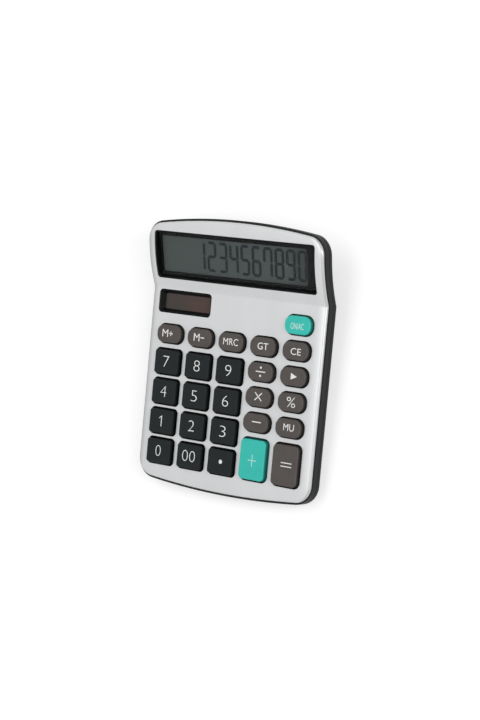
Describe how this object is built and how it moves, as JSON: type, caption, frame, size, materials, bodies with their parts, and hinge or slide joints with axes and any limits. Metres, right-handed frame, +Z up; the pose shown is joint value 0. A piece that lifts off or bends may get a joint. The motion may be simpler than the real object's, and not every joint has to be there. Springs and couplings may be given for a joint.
{
  "type": "desk calculator",
  "caption": "Flat desk calculator with a silver metal face, sprung keys on a dome sheet, a raised display with a solar cell, and a battery under a sliding door.",
  "frame": {"origin": "middle of the footprint, on the surface that the feet rest on", "axes": "+X to the user's right, +Y away from the user towards the display, +Z up"},
  "size_m": [0.1174, 0.1486, 0.034],
  "materials": {
    "silver_plate": "satin brushed, silver",
    "black_plastic": "fine moulded texture",
    "bezel_plastic": "smooth black",
    "clear_plastic": "clear, thin",
    "display_glass": "greenish grey liquid crystal glass with its rear reflector",
    "solar_cell": "dark brown amorphous cell",
    "charcoal_key": "satin charcoal",
    "brown_grey_key": "satin warm grey",
    "teal_key": "satin teal",
    "dome_rubber": "translucent grey silicone",
    "foot_rubber": "matt black",
    "board_laminate": "green solder mask",
    "chip_epoxy": "black potting drop",
    "ribbon_film": "amber film",
    "screw_steel": "plated",
    "contact_metal": "nickel plated",
    "battery_case": "plain printed sleeve, bare"
  },
  "bodies": {
    "case": {"face_plate": "silver_plate", "upper_housing": "black_plastic", "lower_housing": "black_plastic", "display_bezel": "bezel_plastic", "solar_bezel": "bezel_plastic", "display_window": "clear_plastic", "lcd_panel": "display_glass", "display_ribbon": "ribbon_film", "solar_cell": "solar_cell", "dome_sheet": "dome_rubber", "circuit_board": "board_laminate", "processor_chip": "chip_epoxy", "battery": "battery_case", "battery_contact": "contact_metal", "battery_spring": "contact_metal", "foot_1": "foot_rubber", "case_screw_1": "screw_steel", "foot_2": "foot_rubber", "case_screw_2": "screw_steel", "foot_3": "foot_rubber", "case_screw_3": "screw_steel", "foot_4": "foot_rubber", "case_screw_4": "screw_steel", "board_screw_1": "screw_steel", "board_screw_2": "screw_steel", "board_screw_3": "screw_steel", "board_screw_4": "screw_steel", "board_screw_5": "screw_steel", "board_screw_6": "screw_steel"},
    "key_7": {"key_7": "charcoal_key"},
    "key_8": {"key_8": "charcoal_key"},
    "key_9": {"key_9": "charcoal_key"},
    "key_4": {"key_4": "charcoal_key"},
    "key_5": {"key_5": "charcoal_key"},
    "key_6": {"key_6": "charcoal_key"},
    "key_1": {"key_1": "charcoal_key"},
    "key_2": {"key_2": "charcoal_key"},
    "key_3": {"key_3": "charcoal_key"},
    "key_0": {"key_0": "charcoal_key"},
    "key_00": {"key_00": "charcoal_key"},
    "key_point": {"key_point": "charcoal_key"},
    "key_plus": {"key_plus": "teal_key"},
    "key_equals": {"key_equals": "brown_grey_key"},
    "key_minus": {"key_minus": "brown_grey_key"},
    "key_mark_up": {"key_mark_up": "brown_grey_key"},
    "key_multiply": {"key_multiply": "brown_grey_key"},
    "key_percent": {"key_percent": "brown_grey_key"},
    "key_divide": {"key_divide": "brown_grey_key"},
    "key_backspace": {"key_backspace": "brown_grey_key"},
    "key_memory_plus": {"key_memory_plus": "brown_grey_key"},
    "key_memory_minus": {"key_memory_minus": "brown_grey_key"},
    "key_memory_recall": {"key_memory_recall": "brown_grey_key"},
    "key_grand_total": {"key_grand_total": "brown_grey_key"},
    "key_clear_entry": {"key_clear_entry": "brown_grey_key"},
    "key_on": {"key_on": "teal_key"},
    "battery_door": {"battery_door": "black_plastic"}
  },
  "joints": [
    {"name": "key_7_press", "type": "slide", "parent": "case", "child": "key_7", "axis": [0, 0.0698, -0.9976], "range_m": [0, 0.0015], "stiffness_N_per_m": 400, "springref_m": -0.0008, "deforming": ["dome_sheet"]},
    {"name": "key_8_press", "type": "slide", "parent": "case", "child": "key_8", "axis": [0, 0.0698, -0.9976], "range_m": [0, 0.0015], "stiffness_N_per_m": 400, "springref_m": -0.0008, "deforming": ["dome_sheet"]},
    {"name": "key_9_press", "type": "slide", "parent": "case", "child": "key_9", "axis": [0, 0.0698, -0.9976], "range_m": [0, 0.0015], "stiffness_N_per_m": 400, "springref_m": -0.0008, "deforming": ["dome_sheet"]},
    {"name": "key_4_press", "type": "slide", "parent": "case", "child": "key_4", "axis": [0, 0.0698, -0.9976], "range_m": [0, 0.0015], "stiffness_N_per_m": 400, "springref_m": -0.0008, "deforming": ["dome_sheet"]},
    {"name": "key_5_press", "type": "slide", "parent": "case", "child": "key_5", "axis": [0, 0.0698, -0.9976], "range_m": [0, 0.0015], "stiffness_N_per_m": 400, "springref_m": -0.0008, "deforming": ["dome_sheet"]},
    {"name": "key_6_press", "type": "slide", "parent": "case", "child": "key_6", "axis": [0, 0.0698, -0.9976], "range_m": [0, 0.0015], "stiffness_N_per_m": 400, "springref_m": -0.0008, "deforming": ["dome_sheet"]},
    {"name": "key_1_press", "type": "slide", "parent": "case", "child": "key_1", "axis": [0, 0.0698, -0.9976], "range_m": [0, 0.0015], "stiffness_N_per_m": 400, "springref_m": -0.0008, "deforming": ["dome_sheet"]},
    {"name": "key_2_press", "type": "slide", "parent": "case", "child": "key_2", "axis": [0, 0.0698, -0.9976], "range_m": [0, 0.0015], "stiffness_N_per_m": 400, "springref_m": -0.0008, "deforming": ["dome_sheet"]},
    {"name": "key_3_press", "type": "slide", "parent": "case", "child": "key_3", "axis": [0, 0.0698, -0.9976], "range_m": [0, 0.0015], "stiffness_N_per_m": 400, "springref_m": -0.0008, "deforming": ["dome_sheet"]},
    {"name": "key_0_press", "type": "slide", "parent": "case", "child": "key_0", "axis": [0, 0.0698, -0.9976], "range_m": [0, 0.0015], "stiffness_N_per_m": 400, "springref_m": -0.0008, "deforming": ["dome_sheet"]},
    {"name": "key_00_press", "type": "slide", "parent": "case", "child": "key_00", "axis": [0, 0.0698, -0.9976], "range_m": [0, 0.0015], "stiffness_N_per_m": 400, "springref_m": -0.0008, "deforming": ["dome_sheet"]},
    {"name": "key_point_press", "type": "slide", "parent": "case", "child": "key_point", "axis": [0, 0.0698, -0.9976], "range_m": [0, 0.0015], "stiffness_N_per_m": 400, "springref_m": -0.0008, "deforming": ["dome_sheet"]},
    {"name": "key_plus_press", "type": "slide", "parent": "case", "child": "key_plus", "axis": [0, 0.0698, -0.9976], "range_m": [0, 0.0015], "stiffness_N_per_m": 400, "springref_m": -0.0008, "deforming": ["dome_sheet"]},
    {"name": "key_equals_press", "type": "slide", "parent": "case", "child": "key_equals", "axis": [0, 0.0698, -0.9976], "range_m": [0, 0.0015], "stiffness_N_per_m": 400, "springref_m": -0.0008, "deforming": ["dome_sheet"]},
    {"name": "key_minus_press", "type": "slide", "parent": "case", "child": "key_minus", "axis": [0, 0.0698, -0.9976], "range_m": [0, 0.0015], "stiffness_N_per_m": 400, "springref_m": -0.0008, "deforming": ["dome_sheet"]},
    {"name": "key_mark_up_press", "type": "slide", "parent": "case", "child": "key_mark_up", "axis": [0, 0.0698, -0.9976], "range_m": [0, 0.0015], "stiffness_N_per_m": 400, "springref_m": -0.0008, "deforming": ["dome_sheet"]},
    {"name": "key_multiply_press", "type": "slide", "parent": "case", "child": "key_multiply", "axis": [0, 0.0698, -0.9976], "range_m": [0, 0.0015], "stiffness_N_per_m": 400, "springref_m": -0.0008, "deforming": ["dome_sheet"]},
    {"name": "key_percent_press", "type": "slide", "parent": "case", "child": "key_percent", "axis": [0, 0.0698, -0.9976], "range_m": [0, 0.0015], "stiffness_N_per_m": 400, "springref_m": -0.0008, "deforming": ["dome_sheet"]},
    {"name": "key_divide_press", "type": "slide", "parent": "case", "child": "key_divide", "axis": [0, 0.0698, -0.9976], "range_m": [0, 0.0015], "stiffness_N_per_m": 400, "springref_m": -0.0008, "deforming": ["dome_sheet"]},
    {"name": "key_backspace_press", "type": "slide", "parent": "case", "child": "key_backspace", "axis": [0, 0.0698, -0.9976], "range_m": [0, 0.0015], "stiffness_N_per_m": 400, "springref_m": -0.0008, "deforming": ["dome_sheet"]},
    {"name": "key_memory_plus_press", "type": "slide", "parent": "case", "child": "key_memory_plus", "axis": [0, 0.0698, -0.9976], "range_m": [0, 0.0015], "stiffness_N_per_m": 400, "springref_m": -0.0008, "deforming": ["dome_sheet"]},
    {"name": "key_memory_minus_press", "type": "slide", "parent": "case", "child": "key_memory_minus", "axis": [0, 0.0698, -0.9976], "range_m": [0, 0.0015], "stiffness_N_per_m": 400, "springref_m": -0.0008, "deforming": ["dome_sheet"]},
    {"name": "key_memory_recall_press", "type": "slide", "parent": "case", "child": "key_memory_recall", "axis": [0, 0.0698, -0.9976], "range_m": [0, 0.0015], "stiffness_N_per_m": 400, "springref_m": -0.0008, "deforming": ["dome_sheet"]},
    {"name": "key_grand_total_press", "type": "slide", "parent": "case", "child": "key_grand_total", "axis": [0, 0.0698, -0.9976], "range_m": [0, 0.0015], "stiffness_N_per_m": 400, "springref_m": -0.0008, "deforming": ["dome_sheet"]},
    {"name": "key_clear_entry_press", "type": "slide", "parent": "case", "child": "key_clear_entry", "axis": [0, 0.0698, -0.9976], "range_m": [0, 0.0015], "stiffness_N_per_m": 400, "springref_m": -0.0008, "deforming": ["dome_sheet"]},
    {"name": "key_on_press", "type": "slide", "parent": "case", "child": "key_on", "axis": [0, 0.0698, -0.9976], "range_m": [0, 0.0015], "stiffness_N_per_m": 400, "springref_m": -0.0008, "deforming": ["dome_sheet"]},
    {"name": "battery_door_slide", "type": "slide", "parent": "case", "child": "battery_door", "axis": [0, 1, 0], "range_m": [0, 0.024]}
  ]
}
